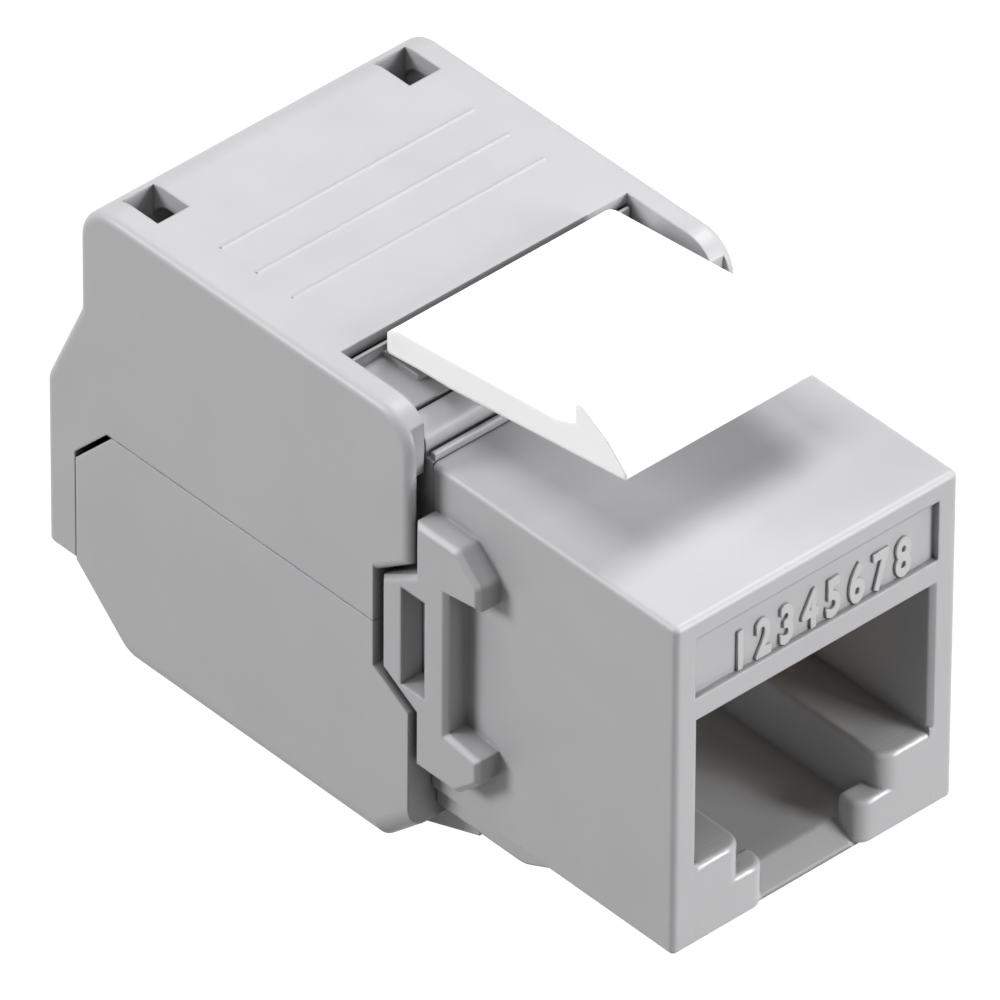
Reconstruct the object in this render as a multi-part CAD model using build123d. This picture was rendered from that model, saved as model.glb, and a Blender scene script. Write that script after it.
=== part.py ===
from build123d import *
from math import hypot, sqrt
import os

# A tool-less keystone jack. Sizes are in millimetres.
# X runs across the jack, Y from the front face to the rear, Z up from the front housing's underside.

# Front housing
front_w = 14.5
front_h = 15.9
front_len = 13.6
front_edge = 0.25

# Modular socket in the front face
port_w = 12.0
port_top = 10.85
port_depth = 12.0
port_lead = 0.2
ledge_z = 3.75
ledge_round = 0.8
lip_round = 0.22
key_w = 7.1
key_floor = 0.9
key_lip_back = 0.3
key_bevel = 1.3
slot_w = 4.7
tab_z = 2.1
tab_depth = 1.1
tab_round = 0.7

# Marking recess above the socket
recess_w = 12.5
recess_low = 12.1
recess_high = 14.95
recess_depth = 0.28

# Clip plates on the housing's sides
clip_t = 1.1
clip_mid_z = 7.79
clip_front = 9.8
clip_spine_front = 11.63
clip_back = 13.45
clip_half_h = 5.93
clip_notch_half = 3.38
clip_edge = 0.2
prong_run = 1.25
prong_drop = 1.15
prong_taper = 0.27
prong_round = 0.35
tongue_back = 15.35
tongue_half = 2.19
tongue_root_half = 3.33
window_front = 12.83
window_back = 14.17
window_half = 2.37
window_pocket = 1.05

# Fixed hook below the housing
hook_start = 6.9
hook_front = 8.6
hook_drop = 0.8
hook_round = 1.5

# Rear body, outer form
mate_gap = 0.05
clip_recess = 0.1
body_rear = 32.8
body_low = -2.95
body_side_wall = 1.2
body_floor = 1.2
body_front_low = -1.5
body_low_round = 0.9
chin_w = 12.8
chin_front = 11.8
chin_low = -1.7
chin_run = 1.6
chamfer_y = 29.15
chamfer_z = 0.45

# Seam between rear body and hood
seam_z = 7.65
seam_gap = 0.04
seam_rise_end = 30.7
seam_drop = 2.15
slant_gap = 0.27
notch_gap = 0.3

# Hood, outer form
arm_gap = 0.1
arm_low = 11.5
arm_low_rear = 10.08
arm_round = 1.7
arm_skin = 0.4
arm_rebate_y = 14.0
arm_rebate_deep_y = 15.0
arm_rebate_deep_top = 15.3
hood_top = 18.35
hood_rear = 32.5
hood_plate = 0.85
hood_rear_wall = 1.2
hood_top_round = 1.8
hood_side_round = 0.35
slot_rear = 18.7
plate_lead = 0.3
bulge_top = 13.0
bulge_z = 8.6
bulge_top_round = 1.0
bulge_round = 1.2
strip_rear = 34.5
strip_low = 0.35
strip_round = 0.3

# Square core holes, cross ribs and cable entry of the hood
core_x = 1.6
core_y = 2.05
core_side = 0.075
core_rear = 31.3
rib_pitch = 2.05
rib_first = 22.4
rib_count = 3
rib_side = 0.85
rib_w = 0.3
rib_h = 0.05
cable_r = 3.2
cable_z = 12.0

# Hinge of the hood
hinge_y = 14.8
hinge_z = 16.3
trunnion_r = 0.7
trunnion_len = 0.7
trunnion_root = 1.0
trunnion_lead = 0.2
fit = 0.05

# Tower between the hood's arms
tower_gap = 0.15
tower_rear = 19.6
tower_wall = 1.2
deck_z = 17.35
deck_t = 1.45
deck_front = 15.28
deck_groove = 0.18
knuckle_front = 14.05
knuckle_top = 17.25
knuckle_round = 0.9
hinge_gap_low = 15.9
flange_t = 0.25
flange_top = 16.25
flange_side = 0.1
flange_round = 0.1
wire_window_w = 9.4
wire_window_rise = 1.4
spigot_w = 8.0
spigot_len = 0.8
spigot_low = 5.0
spigot_high = 9.4

# Panel latch, its pad and the rib behind it
latch_w = 11.2
latch_root_y = 17.3
latch_root_z = 17.8
latch_root_r = 0.9
latch_barrel_w = 9.2
latch_rear = 18.3
latch_foot_z = 17.75
latch_heel_y = 16.3
latch_heel_z = 18.0
latch_heel_t = 1.06
latch_bend_y = 14.4
latch_bend_z = 18.13
latch_tip_y = 4.65
latch_tip_z = 19.47
latch_top_rise = 0.139
latch_rear_round = 1.15
latch_corner = 0.45
nose_h = 0.33
catch_y = 7.45
catch_h = 1.3
catch_flat = 0.3
catch_foot_len = 1.1
catch_foot_h = 0.3
catch_brow_y = 5.75
catch_brow_drop = 0.78
catch_brow_round = 1.0
catch_edge = 0.2
pad_w = 11.0
pad_front = 16.35
pad_h = 0.25
stop_rib_front = 18.37
stop_rib_rear = 18.52
stop_rib_top = 17.9

# Circuit board
board_side = 0.275
board_front = 15.05
board_rear = 30.6
board_z = 8.8
board_t = 1.6
board_gap = 0.08

# Contact wires
contact_count = 8
contact_pitch = 1.016
contact_t = 0.36
contact_root_y = 15.9
contact_root_r = 0.34
contact_run_z = 11.75
contact_bend_y = 11.6
contact_apex_y = 6.8
contact_apex_z = 8.45
contact_tip_y = 3.7
contact_tip_z = 11.1
contact_bend_r = 0.6
contact_lead = 1.3

# Contact carrier
carrier_w = 11.0
carrier_front = 2.3
carrier_rear = 13.4
carrier_low = 10.95
carrier_high = 14.2
carrier_slot_top = 13.3
carrier_slot_w = 0.58
carrier_fit = 0.1
carrier_end_wall = 0.9

# Terminals for the conductors
idc_rows = 2
idc_row_front = 22.6
idc_row_gap = 4.6
idc_blade_w = 1.8
idc_blade_t = 0.4
idc_blade_top = 14.9
idc_slot_w = 0.34
idc_slot_low = 12.3
idc_mouth = 1.1
idc_tail_w = 0.6
idc_tail_low = 8.3

# Block on the board
block_side = 0.75
block_front = 20.8
block_rear = 29.2
block_h = 1.55
block_seat_r = 0.45
block_fit = 0.08

# Guide in the hood
guide_side = 0.4
guide_front = 20.6
guide_rear = 28.9
guide_gap = 0.3
guide_channel_w = 0.85
guide_channel_top = 15.3
guide_pocket_fit = 0.12

# Rear posts and board ribs
post_top = 14.2
post_gap = 0.15
board_rib_t = 1.2

# Values that follow from the sizes above
half_front = front_w / 2
half_body = half_front + clip_t + clip_recess
hood_inner = half_front + arm_gap
half_tower = hood_inner - tower_gap
half_flange = half_tower - flange_side
half_tray = half_body - body_side_wall
half_block = half_tray - block_side
half_guide = hood_inner - guide_side
core_outer = hood_inner - core_side
core_inner = core_outer - core_x
half_board = core_inner + board_side
body_front = front_len + mate_gap
notch_y = tongue_back + notch_gap
board_top = board_z + board_t
guide_low = board_top + block_h + guide_gap
contact_root_z = board_top + board_gap + contact_root_r
idc_pitch = 2 * (half_block - idc_blade_w / 2) / (contact_count - 1)
frame_shift = Location((0, -strip_rear / 2, -body_low))


def block(x, y, z):
    """A box between two corners, each side given as a low and a high value."""
    size = [high - low for low, high in (x, y, z)]
    middle = [(high + low) / 2 for low, high in (x, y, z)]
    return Pos(*middle) * Box(*size)


def prism(points, half_width, middle=0.0, rounds=0.0):
    """A side outline of (y, z) points, spread evenly to both sides of a place along X."""
    outline = FilletPolyline(*points, radius=rounds, close=True)
    face = Plane.YZ.offset(middle) * make_face(outline)
    return extrude(face, amount=half_width, both=True)


def rod(radius, half_length, y, z, middle=0.0):
    """A round rod along X."""
    return Pos(middle, y, z) * Rot(0, 90, 0) * Cylinder(radius, 2 * half_length)


def both_sides(solid):
    """A solid on the +X side and its mirror image."""
    return solid + mirror(solid, about=Plane.YZ)


def socket_void():
    """The modular socket: main space and keyway."""
    half_port = port_w / 2
    half_key = key_w / 2
    main = block((-half_port, half_port), (-1, port_depth), (ledge_z, port_top))
    return main + block((-half_key, half_key), (-1, port_depth), (key_floor, ledge_z + 1))


def socket_mouth():
    """The bevels round the socket's mouth and at the keyway's lip."""
    half_mouth = port_w / 2 + port_lead
    mouth = block((-half_mouth, half_mouth), (-1, port_lead), (ledge_z + lip_round, port_top + port_lead))
    mouth_rim = mouth.faces().sort_by(Axis.Y)[-1].edges().sort_by(Axis.Z)[1:]
    mouth = chamfer(mouth_rim, port_lead - fit / 10)
    bevel_points = [
        (-1, -1),
        (key_lip_back, -1),
        (key_lip_back, 0),
        (key_bevel, key_floor),
        (key_bevel, ledge_z),
        (-1, ledge_z),
    ]
    return mouth + prism(bevel_points, key_w / 2)


def socket_tab():
    """The tab beside the slot at the keyway's front, on the +X side."""
    wall_end = key_w / 2 + 2 * ledge_round
    tab = block((slot_w / 2, wall_end), (0, key_bevel), (0, tab_z))
    tab -= block((0, wall_end), (tab_depth, key_bevel + 1), (key_floor, tab_z + 1))
    free_corner = tab.edges().filter_by(Axis.Z).group_by(Axis.X)[0].sort_by(Axis.Y)[0]
    tab = fillet(free_corner, tab_round)
    top_front = tab.edges().filter_by(Axis.X).group_by(Axis.Z)[-1].sort_by(Axis.Y)[0]
    tab = fillet(top_front, lip_round)
    low_front = tab.edges().filter_by(Axis.X).group_by(Axis.Z)[0].sort_by(Axis.Y)[0]
    return fillet(low_front, front_edge)


def window_void():
    """The window of one clip plate and the blind pocket behind it, on the +X side."""
    return block(
        (half_front - window_pocket, half_front + 2 * clip_t),
        (window_front, window_back),
        (clip_mid_z - window_half, clip_mid_z + window_half),
    )


def clip_plate():
    """One clip plate, with its two prongs and rear tongue, on the +X side."""
    top = clip_mid_z + clip_half_h
    low = clip_mid_z - clip_half_h
    notch_top = clip_mid_z + clip_notch_half
    notch_low = clip_mid_z - clip_notch_half
    points = [
        (clip_back, top),
        (clip_front + prong_run, top),
        (clip_front, top - prong_drop),
        (clip_front, notch_top + prong_taper),
        (clip_spine_front, notch_top),
        (clip_spine_front, notch_low),
        (clip_front, notch_low - prong_taper),
        (clip_front, low + prong_drop),
        (clip_front + prong_run, low),
        (clip_back, low),
        (clip_back, clip_mid_z - tongue_root_half),
        (tongue_back, clip_mid_z - tongue_half),
        (tongue_back, clip_mid_z + tongue_half),
        (clip_back, clip_mid_z + tongue_root_half),
    ]
    rounds = [0, prong_round, prong_round, 0, 0, 0, 0, prong_round, prong_round, 0, 0, 0, 0, 0]
    plate = prism(points, clip_t / 2, half_front + clip_t / 2, rounds)
    outer_face = plate.faces().sort_by(Axis.X)[-1]
    return chamfer(outer_face.edges(), clip_edge)


def front_housing():
    """The moulded housing with the socket, the marking recess, clip plates and lower hook."""
    shell = block((-half_front, half_front), (0, front_len), (0, front_h))
    shell = fillet(shell.edges().filter_by(Axis.Y), front_edge)
    shell = fillet(shell.faces().sort_by(Axis.Y)[0].edges(), front_edge)
    recess = block((-recess_w / 2, recess_w / 2), (-1, recess_depth), (recess_low, recess_high))
    half_carrier = carrier_w / 2 + carrier_fit
    carrier_bay = block(
        (-half_carrier, half_carrier),
        (carrier_front - carrier_fit, front_len + 1),
        (port_top - carrier_fit, carrier_high + carrier_fit),
    )
    housing = shell - socket_void()
    front_edges = housing.edges().filter_by_position(Axis.Y, -fit, fit)
    step_edges = front_edges.filter_by(Axis.Z).filter_by(lambda e: abs(abs(e.center().X) - key_w / 2) < fit)
    housing = fillet(step_edges, ledge_round)
    front_edges = housing.edges().filter_by_position(Axis.Y, -fit, fit)
    ledge_edges = front_edges.filter_by(Axis.X).filter_by_position(Axis.Z, ledge_z - fit, ledge_z + fit)
    housing = fillet(ledge_edges, lip_round) - socket_mouth() - recess - carrier_bay - spigot(fit)
    hook_points = [
        (hook_start, front_edge),
        (hook_start, 0),
        (hook_front, -hook_drop),
        (front_len, -hook_drop),
        (front_len, front_edge),
    ]
    hook = prism(hook_points, half_front - front_edge, 0.0, [0, 0, hook_round, 0, 0])
    return housing + hook + both_sides(socket_tab() + clip_plate()) - both_sides(window_void())


def spigot(clearance=0.0):
    """The spigot that seats the rear body in the housing's rear face, or its recess with a clearance."""
    half_w = spigot_w / 2 + clearance
    return block(
        (-half_w, half_w),
        (front_len - spigot_len - clearance, body_front + clearance),
        (spigot_low - clearance, spigot_high + clearance),
    )


def latch_outline():
    """The latch's side outline: rear of the root, top of the arm, catch, ramp, tip and underside."""

    def over(y):
        return latch_heel_z + latch_heel_t + latch_top_rise * (latch_heel_y - y)

    catch_foot = catch_y + catch_foot_len
    peak = over(catch_y) + catch_h
    return [
        (latch_rear, latch_foot_z),
        (latch_rear, over(latch_heel_y)),
        (catch_foot, over(catch_foot)),
        (catch_y, over(catch_y) + catch_foot_h),
        (catch_y, peak),
        (catch_y - catch_flat, peak),
        (catch_brow_y, peak - catch_brow_drop),
        (latch_tip_y, latch_tip_z + nose_h),
        (latch_tip_y, latch_tip_z),
        (latch_bend_y, latch_bend_z),
        (latch_heel_y, latch_heel_z),
    ]


def panel_latch():
    """The sprung latch, with a barrel root, a rising arm and the catch wedge at its tip."""
    half_w = latch_w / 2
    nose_edge = nose_h / 2 - fit / 2
    rounds = [
        0,
        latch_rear_round,
        0,
        catch_edge,
        catch_edge,
        catch_edge / 2,
        catch_brow_round,
        nose_edge,
        nose_edge,
        0,
        0,
    ]
    arm = prism(latch_outline(), half_w, 0.0, rounds)
    latch = arm + rod(latch_root_r, latch_barrel_w / 2, latch_root_y, latch_root_z)
    plan = block(
        (-half_w, half_w),
        (latch_tip_y, latch_rear),
        (latch_root_z - front_h, latch_root_z + front_h),
    )
    rear_corners = plan.edges().filter_by(Axis.Z).group_by(Axis.Y)[-1]
    return latch & fillet(rear_corners, latch_corner)


def underside(y):
    """The height of the rear body's underside at a place along Y, with its rear chamfer."""
    slope = (chamfer_z - body_low) / (body_rear - chamfer_y)
    return body_low + max(0.0, y - chamfer_y) * slope


def body_shell():
    """The outer form of the lower rear body, with its chin and its hollow tray."""
    seam = seam_z - seam_gap / 2
    outline = [
        (body_front, body_front_low),
        (body_front, clip_mid_z - tongue_root_half - notch_gap / 2),
        (notch_y, clip_mid_z - tongue_half - notch_gap / 3),
        (notch_y, seam),
        (seam_rise_end, seam),
        (body_rear, seam - seam_drop),
        (body_rear, body_low),
        (body_front + chin_run, body_low),
    ]
    shell = prism(outline, half_body)
    side_edges = shell.edges().filter_by(lambda e: abs(abs(e.center().X) - half_body) < fit)
    low_edges = side_edges.filter_by(lambda e: e.center().Z < body_front_low)
    shell = fillet(low_edges, body_low_round)
    rear_cut = [
        (chamfer_y, body_low),
        (chamfer_y, body_low - 1),
        (body_rear + 1, body_low - 1),
        (body_rear + 1, underside(body_rear + 1)),
    ]
    shell -= prism(rear_cut, half_body + 1)
    chin_top = -hook_drop - mate_gap
    chin_outline = [
        (chin_front, chin_top),
        (chin_front, chin_low),
        (body_front + chin_run, body_low),
        (body_front + chin_run, chin_top),
    ]
    tray_outline = [
        (tower_rear, body_low + body_floor),
        (chamfer_y - body_floor / 2, body_low + body_floor),
        (body_rear - body_side_wall, chamfer_z + body_floor / 2),
        (body_rear - body_side_wall, seam_z + 1),
        (tower_rear, seam_z + 1),
    ]
    return shell + prism(chin_outline, chin_w / 2) - prism(tray_outline, half_tray)


def tower():
    """The tower between the hood's arms: flange, knuckle, trunnions, deck and the latch's cradle."""
    low = seam_z - tongue_root_half - 1
    knuckle_rear = deck_front - deck_groove
    outline = [
        (body_front, low),
        (body_front, hinge_gap_low),
        (knuckle_front, hinge_gap_low),
        (knuckle_front, knuckle_top),
        (knuckle_rear, knuckle_top),
        (knuckle_rear, hinge_z),
        (deck_front, hinge_z),
        (deck_front, deck_z),
        (tower_rear, deck_z),
        (tower_rear, low),
    ]
    solid = prism(outline, half_tower, 0.0, [0, 0, 0, knuckle_round, 0, 0, 0, 0, 0, 0])
    flange = block((-half_flange, half_flange), (body_front, body_front + flange_t), (low, flange_top))
    flange_edges = flange.edges().filter_by(Axis.X).sort_by(Axis.Z)[-2:]
    solid += fillet(flange_edges, flange_round)
    pad_half = pad_w / 2
    solid += block((-pad_half, pad_half), (pad_front, stop_rib_rear), (hinge_z, deck_z + pad_h))
    solid += block((-half_tower, half_tower), (stop_rib_front, stop_rib_rear), (hinge_z, stop_rib_top))
    pin_inner = half_tower - trunnion_root
    pin_outer = hood_inner + trunnion_len
    pin = rod(trunnion_r, (pin_outer - pin_inner) / 2, hinge_y, hinge_z, (pin_outer + pin_inner) / 2)
    pin = chamfer(pin.edges().sort_by(Axis.X)[-1], trunnion_lead)
    solid += both_sides(pin)
    return solid - rod(latch_root_r + fit, latch_barrel_w / 2 + seam_gap, latch_root_y, latch_root_z)


def rear_body():
    """The lower rear body with its tower, spigot, board ribs and rear posts, as one moulding."""
    floor = body_low + body_floor
    inside = half_tower - tower_wall
    body = body_shell() + tower()
    hollow = block((-inside, inside), (body_front + tower_wall, tower_rear), (floor, deck_z - deck_t))
    window = block(
        (-wire_window_w / 2, wire_window_w / 2),
        (body_front - 1, body_front + tower_wall + 1),
        (board_top, contact_run_z + wire_window_rise),
    )
    body = body - hollow - window - both_sides(window_void())
    rib_places = [
        (inside, board_front + board_rib_t),
        (half_tray, block_front),
        (half_tray, block_rear - board_rib_t),
    ]
    for half, rib_y in rib_places:
        rib_rear = rib_y + board_rib_t
        body += block((-half, half), (rib_y, rib_rear), (underside(rib_rear) + body_floor / 2, board_z))
    post_rear = core_rear - post_gap
    post = block(
        (half_board + post_gap, core_outer - post_gap),
        (core_rear - core_y + post_gap, post_rear),
        (underside(post_rear) + seam_gap, post_top),
    )
    post = chamfer(post.faces().sort_by(Axis.Z)[-1].edges(), trunnion_lead)
    return body + spigot() + both_sides(post)


def hood_outline():
    """The hood's side outline, from the arm's lower front corner round over the top to the seam."""
    seam = seam_z + seam_gap / 2
    strip_front = body_rear + seam_gap
    slant_front = seam_rise_end + slant_gap
    slant_slope = seam_drop / (body_rear - seam_rise_end)
    return [
        (body_front, arm_low),
        (body_front, hood_top),
        (hood_rear, hood_top),
        (hood_rear, bulge_top),
        (strip_rear, bulge_z),
        (strip_rear, strip_low),
        (strip_front, strip_low),
        (strip_front, seam - slant_slope * (strip_front - slant_front)),
        (slant_front, seam),
        (notch_y, seam),
        (notch_y, arm_low_rear),
    ]


def hood_void():
    """The space inside the hood, between its side walls."""
    inner_rear = hood_rear - hood_rear_wall
    ceiling = hood_top - hood_plate
    strip_front = body_rear + seam_gap
    outline = [
        (body_front - 1, strip_low - 1),
        (body_front - 1, ceiling),
        (inner_rear, ceiling),
        (inner_rear, bulge_top),
        (strip_front, bulge_z),
        (strip_front, strip_low - 1),
    ]
    return prism(outline, hood_inner, 0.0, [0, 0, hood_top_round / 2, 0, 0, 0])


def arm_rebate():
    """The space cut into one arm's front, beside the housing, on the +X side."""
    across = (hood_inner - 1, half_body - arm_skin)
    shallow = block(across, (body_front - 1, arm_rebate_y), (arm_low_rear - 1, hood_top + 1))
    deep = block(across, (body_front - 1, arm_rebate_deep_y), (arm_low_rear - 1, arm_rebate_deep_top))
    return shallow + deep


def top_cover():
    """The hinged hood: side arms, top plate with core holes and cross ribs, and the rear wall."""
    rounds = [fit, arm_round, hood_top_round, bulge_top_round, bulge_round, strip_round, 0, 0, 0, 0, 0]
    outer = prism(hood_outline(), half_body, 0.0, rounds)
    top_rims = outer.edges().filter_by(Axis.Y).group_by(Axis.Z)[-1]
    outer = fillet(top_rims, hood_side_round)
    ceiling = hood_top - hood_plate
    slot = block((-hood_inner, hood_inner), (body_front - 1, slot_rear), (ceiling - 1, hood_top + 1))
    hood = outer - hood_void() - slot - both_sides(arm_rebate())
    plate_edge = hood.edges().filter_by(Axis.X).filter_by_position(Axis.Y, slot_rear - fit, slot_rear + fit)
    hood = chamfer(plate_edge.sort_by(Axis.Z)[:1], plate_lead)
    core = block((core_inner, core_outer), (core_rear - core_y, core_rear), (ceiling - 1, hood_top + 1))
    hood -= both_sides(core)
    hood -= Pos(0, hood_rear, cable_z) * Rot(90, 0, 0) * Cylinder(cable_r, strip_rear - tower_rear)
    socket_end = hood_inner + trunnion_len + fit
    hood -= rod(trunnion_r + fit, socket_end, hinge_y, hinge_z)
    for index in range(rib_count):
        rib_y = rib_first + index * rib_pitch
        ridge = [
            (rib_y - rib_w / 2, hood_top - rib_h),
            (rib_y, hood_top + rib_h),
            (rib_y + rib_w / 2, hood_top - rib_h),
        ]
        hood += prism(ridge, hood_inner - rib_side)
    return hood


def wire_columns():
    """Each conductor's place along X and its terminal's row along Y."""
    columns = []
    for index in range(contact_count):
        x = (index - (contact_count - 1) / 2) * idc_pitch
        row = index % idc_rows
        columns.append((x, idc_row_front + row * idc_row_gap))
    return columns


def pocket_reach(row_y):
    """How far a blade's top moves forward in the guide while the hood swings clear of it."""
    forward = row_y - hinge_y - idc_blade_t / 2
    radius = hypot(forward, idc_blade_top - hinge_z)
    return forward - sqrt(radius**2 - (hinge_z - guide_low) ** 2)


def wire_guide():
    """The block in the hood with a channel for each conductor and a pocket for each terminal."""
    guide = block((-half_guide, half_guide), (guide_front, guide_rear), (guide_low, hood_top - hood_plate))
    half_channel = guide_channel_w / 2
    half_pocket = idc_blade_w / 2 + guide_pocket_fit
    middle_y = (guide_front + guide_rear) / 2
    for x, row_y in wire_columns():
        straight_top = guide_channel_top - half_channel
        guide -= block(
            (x - half_channel, x + half_channel),
            (guide_front - 1, guide_rear + 1),
            (guide_low - 1, straight_top),
        )
        guide -= Pos(x, middle_y, straight_top) * Rot(90, 0, 0) * Cylinder(half_channel, guide_rear)
        pocket_front = row_y - idc_blade_t / 2 - guide_pocket_fit - pocket_reach(row_y)
        guide -= block(
            (x - half_pocket, x + half_pocket),
            (pocket_front, row_y + idc_blade_t / 2 + guide_pocket_fit),
            (guide_low - 1, idc_blade_top + guide_pocket_fit),
        )
    return guide


def idc_block():
    """The block on the board that carries the terminals, with a seat for each conductor."""
    top = board_top + block_h
    solid = block((-half_block, half_block), (block_front, block_rear), (board_top, top))
    solid = chamfer(solid.faces().sort_by(Axis.Z)[-1].edges(), block_fit * 2)
    middle_y = (block_front + block_rear) / 2
    half_x = idc_blade_w / 2 + block_fit
    half_y = idc_blade_t / 2 + block_fit
    for x, row_y in wire_columns():
        seat = Pos(x, middle_y, top + block_seat_r / 2) * Rot(90, 0, 0) * Cylinder(block_seat_r, block_rear)
        slot = block((x - half_x, x + half_x), (row_y - half_y, row_y + half_y), (board_top - 1, top + 1))
        solid = solid - seat - slot
    return solid


def idc_terminal(x, row_y):
    """One flat terminal: a forked blade with a V mouth above the board and a tail through it."""
    half_w = idc_blade_w / 2
    half_slot = idc_slot_w / 2
    half_mouth = idc_mouth / 2
    mouth_low = idc_blade_top - half_mouth
    foot = board_top + block_fit
    right_side = [
        (idc_tail_w / 2, idc_tail_low),
        (idc_tail_w / 2, foot),
        (half_w, foot),
        (half_w, idc_blade_top),
        (half_mouth, idc_blade_top),
        (half_slot, mouth_low),
        (half_slot, idc_slot_low),
    ]
    left_side = [(-u, v) for u, v in reversed(right_side)]
    outline = make_face(Polyline(*right_side, *left_side, close=True))
    return extrude(Plane.XZ.offset(-row_y) * Pos(x, 0, 0) * outline, amount=idc_blade_t / 2, both=True)


def circuit_board():
    """The board between contact wires and terminals, with a hole for each terminal's tail."""
    board = block((-half_board, half_board), (board_front, board_rear), (board_z, board_top))
    hole_r = hypot(idc_tail_w, idc_blade_t) / 2 + block_fit
    for x, row_y in wire_columns():
        board -= Pos(x, row_y, board_z) * Cylinder(hole_r, 4 * board_t)
    return board


def contact_x(index):
    """A contact wire's place along X."""
    return (index - (contact_count - 1) / 2) * contact_pitch


def contact_carrier():
    """The comb above the socket, with one slot for each contact wire."""
    half_w = carrier_w / 2
    carrier = block((-half_w, half_w), (carrier_front, carrier_rear), (carrier_low, carrier_high))
    for index in range(contact_count):
        x = contact_x(index)
        carrier -= block(
            (x - carrier_slot_w / 2, x + carrier_slot_w / 2),
            (carrier_front + carrier_end_wall, carrier_rear + 1),
            (carrier_low - 1, carrier_slot_top),
        )
    return carrier


def contact_wire(index):
    """One sprung contact wire: round root on the board, run forward, V into the socket, tip."""
    x = contact_x(index)
    route = [
        (contact_root_y, contact_root_z),
        (contact_root_y - contact_lead, contact_run_z),
        (contact_bend_y, contact_run_z),
        (contact_apex_y, contact_apex_z),
        (contact_tip_y, contact_tip_z),
    ]
    bends = [contact_bend_r] * (len(route) - 2)
    path = Plane.YZ.offset(x) * FilletPolyline(*route, radius=bends)
    start = Plane(origin=path @ 0, x_dir=(1, 0, 0), z_dir=path % 0)
    wire = sweep(start * Rectangle(contact_t, contact_t), path=path)
    return wire + rod(contact_root_r, contact_t / 2, contact_root_y, contact_root_z, x)


def all_pieces():
    """Every node's name and solid."""
    pieces = {
        "front_housing": front_housing(),
        "panel_latch": panel_latch(),
        "rear_body": rear_body(),
        "top_cover": top_cover(),
        "wire_guide": wire_guide(),
        "circuit_board": circuit_board(),
        "contact_carrier": contact_carrier(),
        "idc_block": idc_block(),
    }
    for index in range(contact_count):
        pieces[f"contact_wire_{index + 1}"] = contact_wire(index)
    for index, (x, row_y) in enumerate(wire_columns()):
        pieces[f"idc_terminal_{index + 1}"] = idc_terminal(x, row_y)
    return pieces


os.makedirs("parts", exist_ok=True)
for name, solid in all_pieces().items():
    export_step(frame_shift * solid, f"parts/{name}.step")
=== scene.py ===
from math import cos, pi, radians, sin

import bmesh
import bpy
from mathutils import Matrix, Vector


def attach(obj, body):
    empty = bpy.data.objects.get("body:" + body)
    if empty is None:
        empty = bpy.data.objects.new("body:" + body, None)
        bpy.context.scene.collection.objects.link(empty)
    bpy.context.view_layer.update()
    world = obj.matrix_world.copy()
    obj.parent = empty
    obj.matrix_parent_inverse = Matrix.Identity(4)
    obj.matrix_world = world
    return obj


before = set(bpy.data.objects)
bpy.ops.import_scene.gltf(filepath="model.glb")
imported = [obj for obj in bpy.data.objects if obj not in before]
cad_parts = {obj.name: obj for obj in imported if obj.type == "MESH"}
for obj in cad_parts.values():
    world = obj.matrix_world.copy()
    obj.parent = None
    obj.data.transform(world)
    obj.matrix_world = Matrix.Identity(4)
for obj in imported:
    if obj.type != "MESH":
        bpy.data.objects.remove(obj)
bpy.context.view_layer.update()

MM = 0.001

# The front face and the housing's underside in the row frame, in millimetres
FRONT_Y = -17.25
LIFT_Z = 2.95


def place(x, y, z):
    """A point in metres, from millimetres off the front face and the housing's underside."""
    return Vector((x * MM, (y + FRONT_Y) * MM, (z + LIFT_Z) * MM))


class Value:
    """A node's output. Sums and products of it make Math nodes."""

    def __init__(self, paint, socket):
        self.paint = paint
        self.socket = socket

    def _math(self, kind, other):
        return self.paint.node("ShaderNodeMath", {"operation": kind}, {0: self, 1: other})

    def __add__(self, other):
        return self._math("ADD", other)

    __radd__ = __add__

    def __mul__(self, other):
        return self._math("MULTIPLY", other)

    __rmul__ = __mul__

    def between(self, low, high, out_low=0.0, out_high=1.0):
        """out_low at low, out_high at high, in a straight line between them and level beyond."""
        ends = {"From Min": low, "From Max": high, "To Min": out_low, "To Max": out_high}
        return self.paint.node("ShaderNodeMapRange", {"clamp": True}, {"Value": self, **ends})


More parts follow.
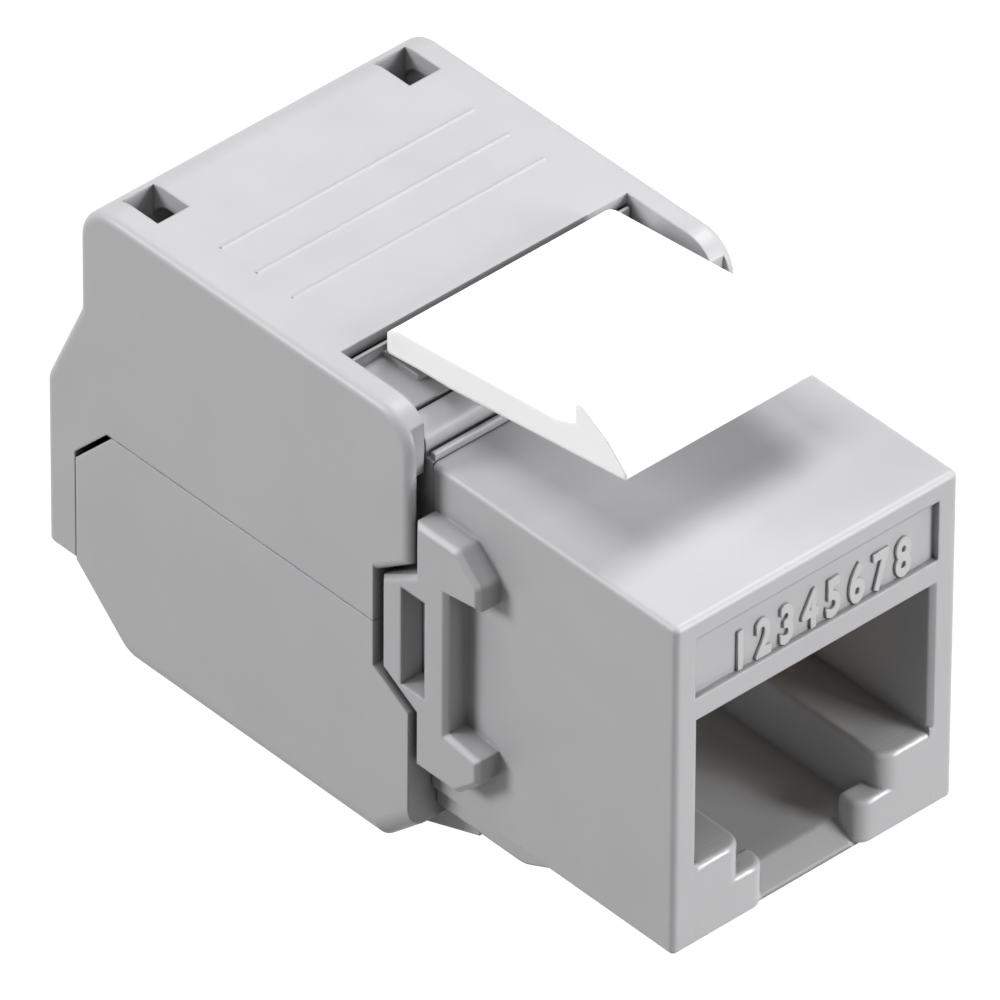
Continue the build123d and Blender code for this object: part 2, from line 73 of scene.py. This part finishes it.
class Paint:
    """A material, or the world, and the nodes that make it."""

    def __init__(self, name, world=False):
        self.block = bpy.data.worlds.new(name) if world else bpy.data.materials.new(name)
        self.block.use_nodes = True
        self.output = "ShaderNodeOutputWorld" if world else "ShaderNodeOutputMaterial"
        self.tree = self.block.node_tree
        self.tree.nodes.clear()

    def node(self, kind, settings=None, inputs=None, output=0):
        """A node with its settings and inputs set, given back as one of its outputs."""
        made = self.tree.nodes.new(kind)
        for key, value in (settings or {}).items():
            setattr(made, key, value)
        for key, value in (inputs or {}).items():
            if isinstance(value, Value):
                self.tree.links.new(value.socket, made.inputs[key])
            else:
                made.inputs[key].default_value = value
        return Value(self, made.outputs[output]) if len(made.outputs) else None

    def place(self):
        """The object's own coordinates, in metres."""
        return self.node("ShaderNodeTexCoord", output="Object")

    def within(self, low, high, soft=0.05):
        """1 inside a box and 0 outside it, its corners given as the function place takes them."""
        mask = 1.0
        split = {"Vector": self.place()}
        for axis, (near, far) in enumerate(zip(place(*low), place(*high))):
            along = self.node("ShaderNodeSeparateXYZ", None, split, axis)
            mask = mask * along.between(near - soft * MM, near + soft * MM)
            mask = mask * along.between(far - soft * MM, far + soft * MM, 1.0, 0.0)
        return mask

    def noise(self, scale, detail, rough, stretch=None):
        """Even noise around 0.5, with scale its grain in a metre."""
        vector = self.place()
        if stretch:
            vector = self.node("ShaderNodeMapping", None, {"Vector": vector, "Scale": stretch})
        inputs = {"Vector": vector, "Scale": scale, "Detail": detail, "Roughness": rough}
        return self.node("ShaderNodeTexNoise", None, inputs)

    def blend(self, factor, first, second):
        """The first colour where factor is 0 and the second where it is 1."""
        inputs = {"Factor": factor, 6: first, 7: second}
        return self.node("ShaderNodeMix", {"data_type": "RGBA"}, inputs, 2)

    def soft_edge(self, radius, samples):
        """Normals that round each edge by a radius in millimetres."""
        return self.node("ShaderNodeBevel", {"samples": samples}, {"Radius": radius * MM})

    def skin(self, height, depth, strength, normal):
        """Normals with fine relief on them, its depth in millimetres."""
        inputs = {"Strength": strength, "Distance": depth * MM, "Height": height, "Normal": normal}
        return self.node("ShaderNodeBump", None, inputs)

    def seen(self):
        """1 on what the camera, a gloss or clear plastic sees, and 0 where it only gives light."""
        rays = ("Is Camera Ray", "Is Glossy Ray", "Is Transmission Ray")
        camera_ray, glossy_ray, clear_ray = (
            self.node("ShaderNodeLightPath", output=ray) for ray in rays
        )
        return (camera_ray + glossy_ray + clear_ray).between(0.0, 1.0)

    def principled(self, inputs):
        """The finished block, with one plain surface made from these inputs."""
        return self.finish(self.node("ShaderNodeBsdfPrincipled", None, inputs))

    def finish(self, shader):
        """The finished block, with this shader as its surface."""
        self.node(self.output, None, {"Surface": shader})
        return self.block


def grey(level):
    return (level, level, level, 1.0)


# The middle of a noise's run, which a colour or a roughness spreads over its own range
TIGHT = (0.35, 0.65)
WIDE = (0.3, 0.7)

# Noises, each with its grain in a metre, detail, roughness and stretch
CLOUD = (260.0, 3.0, 0.55)
FLOW = (90.0, 2.0, 0.5, (1.0, 0.25, 1.0))
FINE = (9000.0, 2.0, 0.6)
DRAWN = (5200.0, 2.0, 0.6, (1.0, 0.06, 1.0))
TARNISH = (900.0, 2.0, 0.5)
LACQUER = (700.0, 2.0, 0.5)

# Moulded plastic, with its lengths in millimetres
CLOUD_SHARE, FLOW_SHARE = 0.6, 0.4
SKIN_DEPTH = 0.004
SKIN_STRENGTH = 0.35
# Painted shade in creases: how far the occlusion node looks, the openness over which the colour
# goes from dark to its own, its samples, and the dark grey it goes to
CREASE_REACH = 1.2
CREASE_OPEN = (0.05, 0.8)
CREASE_SAMPLES = 8
SHADE_GREY = (0.03, 0.03, 0.032, 1.0)
PAINTED_SHADE_SHARE = 0.45
RUBBED_SHARE = 0.3
PLASTIC_IOR = 1.53
PLASTIC_ROUGH = 0.42
PLASTIC_SMOOTHER, PLASTIC_ROUGHER = 0.04, 0.05
PLASTIC_EDGE_SAMPLES = 6


def moulded(
    name, low, high, edge, rough=PLASTIC_ROUGH, crease_shade=None, rubbed=None, painted_shade_box=None, painted_glow=0.0
):
    """Moulded plastic between two colours, with a fine skin, faint flow marks and soft edges.

    edge is their radius in millimetres, crease_shade how much of its colour stays in a crease,
    where shade is painted in, rubbed a box where it is smoother, painted_shade_box a box where
    shade is painted in as a darker colour, and painted_glow how much it glows of its own, a painted
    glow that makes it look brighter.
    """
    paint = Paint(name)
    cloud = paint.noise(*CLOUD)
    flow = paint.noise(*FLOW)
    fine = paint.noise(*FINE)
    marks = cloud * CLOUD_SHARE + flow * FLOW_SHARE
    colour = paint.blend(marks.between(*TIGHT), low, high)
    # Painted shade: the colour goes dark where the occlusion node finds the surface hemmed in
    if crease_shade:
        samples = {"samples": CREASE_SAMPLES}
        reach = {"Distance": CREASE_REACH * MM}
        openness = paint.node("ShaderNodeAmbientOcclusion", samples, reach, 1)
        unshaded = openness.between(*CREASE_OPEN, crease_shade, 1.0)
        colour = paint.blend(unshaded, SHADE_GREY, colour)
    # Painted shade: a darker colour in a box, the keyway's bevel under the socket's roof
    if painted_shade_box:
        colour = paint.blend(paint.within(*painted_shade_box) * PAINTED_SHADE_SHARE, colour, SHADE_GREY)
    grain = cloud * 0.5 + fine * 0.5
    roughness = grain.between(*WIDE, rough - PLASTIC_SMOOTHER, rough + PLASTIC_ROUGHER)
    if rubbed:
        roughness = roughness * paint.within(*rubbed).between(0.0, 1.0, 1.0, RUBBED_SHARE)
    soft_edge = paint.soft_edge(edge, PLASTIC_EDGE_SAMPLES)
    normal = paint.skin(fine, SKIN_DEPTH, SKIN_STRENGTH, soft_edge)
    return paint.principled(
        {
            "Base Color": colour,
            "Roughness": roughness,
            "Normal": normal,
            "IOR": PLASTIC_IOR,
            # A painted glow: the colour gives off light of its own, so that it looks brighter than
            # the lamps make it
            "Emission Color": high,
            "Emission Strength": painted_glow,
        }
    )


# Plated metal, with its lengths in millimetres
DRAWN_DEPTH = 0.003
DRAWN_STRENGTH = 0.2
METAL_SMOOTHER, METAL_ROUGHER = 0.06, 0.08
METAL_EDGE = 0.03
METAL_EDGE_SAMPLES = 4


def plated(name, low, high, rough):
    """Plated wire or blade: bright metal with fine drawn lines along its length."""
    paint = Paint(name)
    lines = paint.noise(*DRAWN)
    tarnish = paint.noise(*TARNISH)
    soft_edge = paint.soft_edge(METAL_EDGE, METAL_EDGE_SAMPLES)
    return paint.principled(
        {
            "Base Color": paint.blend(tarnish.between(*WIDE), low, high),
            "Roughness": lines.between(*WIDE, rough - METAL_SMOOTHER, rough + METAL_ROUGHER),
            "Normal": paint.skin(lines, DRAWN_DEPTH, DRAWN_STRENGTH, soft_edge),
            "Metallic": 1.0,
        }
    )


# The circuit board's green lacquer, with its edge in millimetres
LACQUER_LOW = (0.012, 0.085, 0.03, 1.0)
LACQUER_HIGH = (0.018, 0.12, 0.045, 1.0)
LACQUER_ROUGH = (0.28, 0.4)
LACQUER_EDGE = 0.1
LACQUER_EDGE_SAMPLES = 4


def board_skin():
    """Green solder mask, a little cloudy."""
    paint = Paint("solder_mask")
    cloud = paint.noise(*LACQUER)
    return paint.principled(
        {
            "Base Color": paint.blend(cloud.between(*TIGHT), LACQUER_LOW, LACQUER_HIGH),
            "Roughness": cloud.between(*WIDE, *LACQUER_ROUGH),
            "Normal": paint.soft_edge(LACQUER_EDGE, LACQUER_EDGE_SAMPLES),
        }
    )


SHELL_LOW = (0.455, 0.455, 0.465, 1.0)
SHELL_HIGH = (0.485, 0.485, 0.495, 1.0)
GOLD_LOW = (0.83, 0.58, 0.24, 1.0)
GOLD_HIGH = (0.9, 0.66, 0.3, 1.0)
TIN_LOW = (0.66, 0.65, 0.63, 1.0)
TIN_HIGH = (0.75, 0.74, 0.72, 1.0)

# Opposite corners of two places on the housing, as the function place takes them; shade is painted
# on the second
SOCKET_LIPS = ((-6.2, -0.1, 0.4), (6.2, 0.7, 4.3))
KEYWAY_BEVEL_SHADE = ((-2.3, -0.1, -0.1), (2.3, 1.32, 0.92))

# The shell and the housing get painted shade in their creases
shell_grey = moulded("shell_grey", SHELL_LOW, SHELL_HIGH, 0.14, crease_shade=0.25)
# The housing also gets painted shade on its keyway bevel
housing_grey = moulded(
    "housing_grey", SHELL_LOW, SHELL_HIGH, 0.2, crease_shade=0.08, rubbed=SOCKET_LIPS, painted_shade_box=KEYWAY_BEVEL_SHADE
)
# The numbers are a lighter copy of the housing's grey, a painted highlight on them
number_lit_grey = moulded("number_lit_grey", grey(0.53), grey(0.56), 0.03)
# The latch gets a painted glow
latch_white = moulded("latch_white", grey(0.96), grey(0.99), 0.22, painted_glow=0.09)
guide_white = moulded("guide_white", grey(0.6), grey(0.66), 0.08, rough=0.45)
inner_dark = moulded("inner_dark", grey(0.03), grey(0.04), 0.06, rough=0.5)
contact_gold = plated("contact_gold", GOLD_LOW, GOLD_HIGH, 0.24)
terminal_tin = plated("terminal_tin", TIN_LOW, TIN_HIGH, 0.32)
solder_mask = board_skin()

FINISH = {
    "front_housing": housing_grey,
    "rear_body": shell_grey,
    "top_cover": shell_grey,
    "panel_latch": latch_white,
    "wire_guide": guide_white,
    "contact_carrier": inner_dark,
    "idc_block": inner_dark,
    "circuit_board": solder_mask,
}
for name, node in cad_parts.items():
    if name.startswith("contact_wire"):
        material = contact_gold
    elif name.startswith("idc_terminal"):
        material = terminal_tin
    else:
        material = FINISH[name]
    node.data.materials.clear()
    node.data.materials.append(material)


def mesh_object(name, bm, material):
    """An object from bmesh data, at the origin."""
    mesh = bpy.data.meshes.new(name)
    bm.normal_update()
    bm.to_mesh(mesh)
    bm.free()
    mesh.materials.append(material)
    made = bpy.data.objects.new(name, mesh)
    bpy.context.scene.collection.objects.link(made)
    return made


def mesh_piece(name, bm, material, body):
    """A piece of the jack from bmesh data, riding on a body."""
    piece = mesh_object(name, bm, material)
    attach(piece, body)


# The pin numbers, in millimetres, with their first digit at the low X end of the recess
PIN_COUNT = 8
NUMBER_PITCH = 1.2
NUMBER_HEIGHT = 1.8
NUMBER_BOLD = 0.08
NUMBER_RISE = 0.14
NUMBER_MIDDLE_X = 0.4
NUMBER_LOW_Z = 12.2
RECESS_FLOOR_Y = 0.28
WELD = 0.001

# A digit's width as a share of the font's, its height as a share of the font's size, how far in
# front of the recess's floor its middle stands as a share of its rise, and its curves' steps
NUMBER_NARROW = 0.64
DIGIT_PART = 0.73
DIGIT_STAND = 0.45
DIGIT_STEPS = 4


def pin_numbers():
    """Raised pin numbers across the marking recess, the first at the left, as on a pinout."""
    bm = bmesh.new()
    rise = NUMBER_RISE * MM
    upright = Matrix.Rotation(pi / 2, 4, "X") @ Matrix.Diagonal((NUMBER_NARROW, 1, 1, 1))
    for index in range(PIN_COUNT):
        text = bpy.data.curves.new("pin_number", "FONT")
        text.body = str(index + 1)
        text.align_x = "CENTER"
        text.size = NUMBER_HEIGHT * MM / DIGIT_PART
        text.extrude = rise / 2
        text.resolution_u = DIGIT_STEPS
        text.offset = NUMBER_BOLD * MM
        holder = bpy.data.objects.new("pin_number", text)
        digit = bpy.data.meshes.new_from_object(holder)
        x = NUMBER_MIDDLE_X + (index - (PIN_COUNT - 1) / 2) * NUMBER_PITCH
        spot = place(x, RECESS_FLOOR_Y, NUMBER_LOW_Z) - Vector((0, rise * DIGIT_STAND, 0))
        digit.transform(Matrix.Translation(spot) @ upright)
        bm.from_mesh(digit)
        bpy.data.objects.remove(holder)
        bpy.data.curves.remove(text)
        bpy.data.meshes.remove(digit)
    bmesh.ops.remove_doubles(bm, verts=bm.verts, dist=WELD * MM)
    bmesh.ops.recalc_face_normals(bm, faces=bm.faces)
    mesh_piece("pin_numbers", bm, number_lit_grey, "housing")


pin_numbers()

# The photograph's viewpoint, in metres and degrees, and a long lens on a sensor, in millimetres
CAMERA_AT = Vector((-0.4326065, -0.4719321, 0.5221232))
AZIMUTH, ELEVATION, ROLL = radians(-42.48), radians(38.6), radians(0.35)
LENS = 769.67
SENSOR = 36.0
CLIP_START, CLIP_END = 0.05, 20.0


def photo_camera():
    """The camera at the photograph's viewing angle."""
    back = Vector((sin(AZIMUTH) * cos(ELEVATION), -cos(AZIMUTH) * cos(ELEVATION), sin(ELEVATION)))
    level = Vector((cos(AZIMUTH), sin(AZIMUTH), 0.0))
    upright = back.cross(level)
    right = level * cos(ROLL) + upright * sin(ROLL)
    up = upright * cos(ROLL) - level * sin(ROLL)
    data = bpy.data.cameras.new("camera")
    data.sensor_width = SENSOR
    data.lens = LENS
    data.clip_start = CLIP_START
    data.clip_end = CLIP_END
    camera = bpy.data.objects.new("camera", data)
    bpy.context.scene.collection.objects.link(camera)
    turned = Matrix((right, up, back)).transposed().to_4x4()
    camera.matrix_world = Matrix.Translation(CAMERA_AT) @ turned
    return camera


bpy.context.scene.camera = photo_camera()

# The floor, in metres: white as far as WHITE_REACH from the jack, and pale from PALE_REACH on
FLOOR_HALF = 3.0
FLOOR_DROP = 0.00002
WHITE_REACH = 0.06
PALE_REACH = 0.11
FLOOR_WHITE = grey(1.0)
FLOOR_PALE = grey(0.78)
FLOOR_PAPER = grey(0.2)
FLOOR_STRENGTH = 1.05


def floor():
    """A plain floor, seen as white paper that gets a little greyer away from the jack."""
    paint = Paint("floor_paper")
    away = paint.node("ShaderNodeVectorMath", {"operation": "LENGTH"}, {0: paint.place()}, 1)
    white = paint.blend(away.between(WHITE_REACH, PALE_REACH), FLOOR_WHITE, FLOOR_PALE)
    paper = paint.node("ShaderNodeBsdfDiffuse", None, {"Color": FLOOR_PAPER})
    glow = paint.node("ShaderNodeEmission", None, {"Color": white, "Strength": FLOOR_STRENGTH})
    look = paint.node("ShaderNodeMixShader", None, {0: paint.seen(), 1: paper, 2: glow})
    bm = bmesh.new()
    bmesh.ops.create_grid(bm, x_segments=1, y_segments=1, size=FLOOR_HALF)
    piece = mesh_object("floor", bm, paint.finish(look))
    piece.location.z = -FLOOR_DROP


floor()

# Each square lamp's name, place and side in metres, power, and whether it shows in a gloss
LAMPS = (
    ("key", (0.349, 0.084, 0.611), 0.27, 2.65, True),
    ("overhead", (-0.07, 0.0, 0.707), 0.35, 2.15, False),
    ("front", (0.293, -0.613, 0.177), 0.25, 4.0, True),
    ("left", (-0.525, 0.35, 0.294), 0.25, 3.22, True),
    ("edge", (0.37, -0.437, 0.403), 0.05, 0.45, True),
)
LAMP_AIM = Vector((0.0, 0.0, 0.01))


def lamp(name, where, side, power, in_gloss):
    """A soft square light that looks at the middle of the jack."""
    data = bpy.data.lights.new(name, "AREA")
    data.size = side
    data.energy = power
    light = bpy.data.objects.new(name, data)
    bpy.context.scene.collection.objects.link(light)
    light.location = where
    light.rotation_mode = "QUATERNION"
    light.rotation_quaternion = (LAMP_AIM - Vector(where)).to_track_quat("-Z", "Y")
    light.visible_glossy = in_gloss


for row in LAMPS:
    lamp(*row)

# How bright the studio's walls are as a light, and as they are seen
WORLD_LIGHT = 0.08
WORLD_SEEN = 0.8


def studio():
    """White walls that light the jack only faintly."""
    paint = Paint("studio", world=True)
    strength = paint.seen().between(0.0, 1.0, WORLD_LIGHT, WORLD_SEEN)
    walls = {"Color": grey(1.0), "Strength": strength}
    return paint.finish(paint.node("ShaderNodeBackground", None, walls))


bpy.context.scene.world = studio()
bpy.context.scene.view_settings.view_transform = "Standard"
